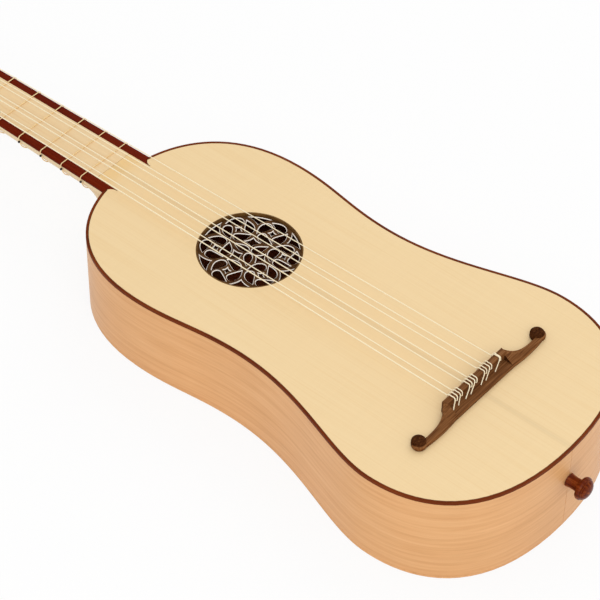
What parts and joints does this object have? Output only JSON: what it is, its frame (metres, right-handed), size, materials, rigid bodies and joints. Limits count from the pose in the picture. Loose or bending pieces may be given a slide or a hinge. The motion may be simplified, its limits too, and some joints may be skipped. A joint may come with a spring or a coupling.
{
  "type": "guitar",
  "caption": "Small early four-course guitar with a carved wooden rose, scroll-ended tie bridge, tied gut frets and rear friction pegs",
  "frame": {"origin": "On the flat back's outer face, right below the front edge of the bridge, midway between the two sides.", "axes": "Z points out of the back towards the soundboard, Y along the neck towards the head, X towards the treble side."},
  "size_m": [0.222, 0.801, 0.091],
  "materials": {
    "spruce": "satin",
    "rib_wood": "satin varnish",
    "neck_wood": "satin",
    "inner_wood": "raw",
    "binding_wood": "satin varnish",
    "edge_wood": "polished",
    "bridge_wood": "oiled",
    "rose_wood": "stained",
    "peg_wood": "polished",
    "bone": "polished bone",
    "gut": "varnished gut",
    "fret_gut": "plain gut"
  },
  "bodies": {
    "body": {"soundboard": "spruce", "rose": "rose_wood", "bridge": "bridge_wood", "top_binding": "binding_wood", "rib_bass": "rib_wood", "rib_treble": "rib_wood", "back_plate": "rib_wood", "neck": "neck_wood", "neck_block": "inner_wood", "tail_block": "inner_wood", "soundboard_bar_1": "inner_wood", "soundboard_bar_2": "inner_wood", "soundboard_bar_3": "inner_wood", "back_bar_1": "inner_wood", "back_bar_2": "inner_wood", "back_bar_3": "inner_wood", "top_lining_bass": "inner_wood", "top_lining_treble": "inner_wood", "back_lining_bass": "inner_wood", "back_lining_treble": "inner_wood", "end_button": "edge_wood", "nut": "bone", "fingerboard": "neck_wood", "fingerboard_edge_bass": "edge_wood", "fingerboard_edge_treble": "edge_wood", "head": "neck_wood", "head_veneer": "edge_wood", "string_1": "gut", "string_2": "gut", "string_3": "gut", "string_4": "gut", "string_5": "gut", "string_6": "gut", "string_7": "gut"},
    "tuning_peg_1": {"peg_1": "peg_wood", "string_winding_1": "gut"},
    "tuning_peg_2": {"peg_2": "peg_wood", "string_winding_2": "gut"},
    "tuning_peg_3": {"peg_3": "peg_wood", "string_winding_3": "gut"},
    "tuning_peg_4": {"peg_4": "peg_wood", "string_winding_4": "gut"},
    "tuning_peg_5": {"peg_5": "peg_wood", "string_winding_5": "gut"},
    "tuning_peg_6": {"peg_6": "peg_wood", "string_winding_6": "gut"},
    "tuning_peg_7": {"peg_7": "peg_wood", "string_winding_7": "gut"},
    "tied_fret_1": {"fret_1": "fret_gut"},
    "tied_fret_2": {"fret_2": "fret_gut"},
    "tied_fret_3": {"fret_3": "fret_gut"},
    "tied_fret_4": {"fret_4": "fret_gut"},
    "tied_fret_5": {"fret_5": "fret_gut"},
    "tied_fret_6": {"fret_6": "fret_gut"},
    "tied_fret_7": {"fret_7": "fret_gut"},
    "tied_fret_8": {"fret_8": "fret_gut"}
  },
  "joints": [
    {"name": "peg_1_turn", "type": "hinge", "parent": "body", "child": "tuning_peg_1", "pos_m": [0.0194, 0.58601, 0.05407], "axis": [0, 0.1563, 0.9877], "continuous": true},
    {"name": "peg_2_turn", "type": "hinge", "parent": "body", "child": "tuning_peg_2", "pos_m": [0.0169, 0.61268, 0.04985], "axis": [0, 0.1563, 0.9877], "continuous": true},
    {"name": "peg_3_turn", "type": "hinge", "parent": "body", "child": "tuning_peg_3", "pos_m": [0.016, 0.63935, 0.04563], "axis": [0, 0.1563, 0.9877], "continuous": true},
    {"name": "peg_4_turn", "type": "hinge", "parent": "body", "child": "tuning_peg_4", "pos_m": [-0.016, 0.66602, 0.04141], "axis": [0, 0.1563, 0.9877], "continuous": true},
    {"name": "peg_5_turn", "type": "hinge", "parent": "body", "child": "tuning_peg_5", "pos_m": [-0.016, 0.63935, 0.04563], "axis": [0, 0.1563, 0.9877], "continuous": true},
    {"name": "peg_6_turn", "type": "hinge", "parent": "body", "child": "tuning_peg_6", "pos_m": [-0.0169, 0.61268, 0.04985], "axis": [0, 0.1563, 0.9877], "continuous": true},
    {"name": "peg_7_turn", "type": "hinge", "parent": "body", "child": "tuning_peg_7", "pos_m": [-0.0194, 0.58601, 0.05407], "axis": [0, 0.1563, 0.9877], "continuous": true},
    {"name": "fret_1_slide", "type": "slide", "parent": "body", "child": "tied_fret_1", "axis": [0, 0.9994, -0.0348], "range_m": [-0.002, 0.002]},
    {"name": "fret_2_slide", "type": "slide", "parent": "body", "child": "tied_fret_2", "axis": [0, 0.9994, -0.0348], "range_m": [-0.002, 0.002]},
    {"name": "fret_3_slide", "type": "slide", "parent": "body", "child": "tied_fret_3", "axis": [0, 0.9994, -0.0348], "range_m": [-0.002, 0.002]},
    {"name": "fret_4_slide", "type": "slide", "parent": "body", "child": "tied_fret_4", "axis": [0, 0.9994, -0.0348], "range_m": [-0.002, 0.002]},
    {"name": "fret_5_slide", "type": "slide", "parent": "body", "child": "tied_fret_5", "axis": [0, 0.9994, -0.0348], "range_m": [-0.002, 0.002]},
    {"name": "fret_6_slide", "type": "slide", "parent": "body", "child": "tied_fret_6", "axis": [0, 0.9994, -0.0348], "range_m": [-0.002, 0.002]},
    {"name": "fret_7_slide", "type": "slide", "parent": "body", "child": "tied_fret_7", "axis": [0, 0.9994, -0.0348], "range_m": [-0.002, 0.002]},
    {"name": "fret_8_slide", "type": "slide", "parent": "body", "child": "tied_fret_8", "axis": [0, 0.9994, -0.0348], "range_m": [-0.002, 0.002]}
  ]
}
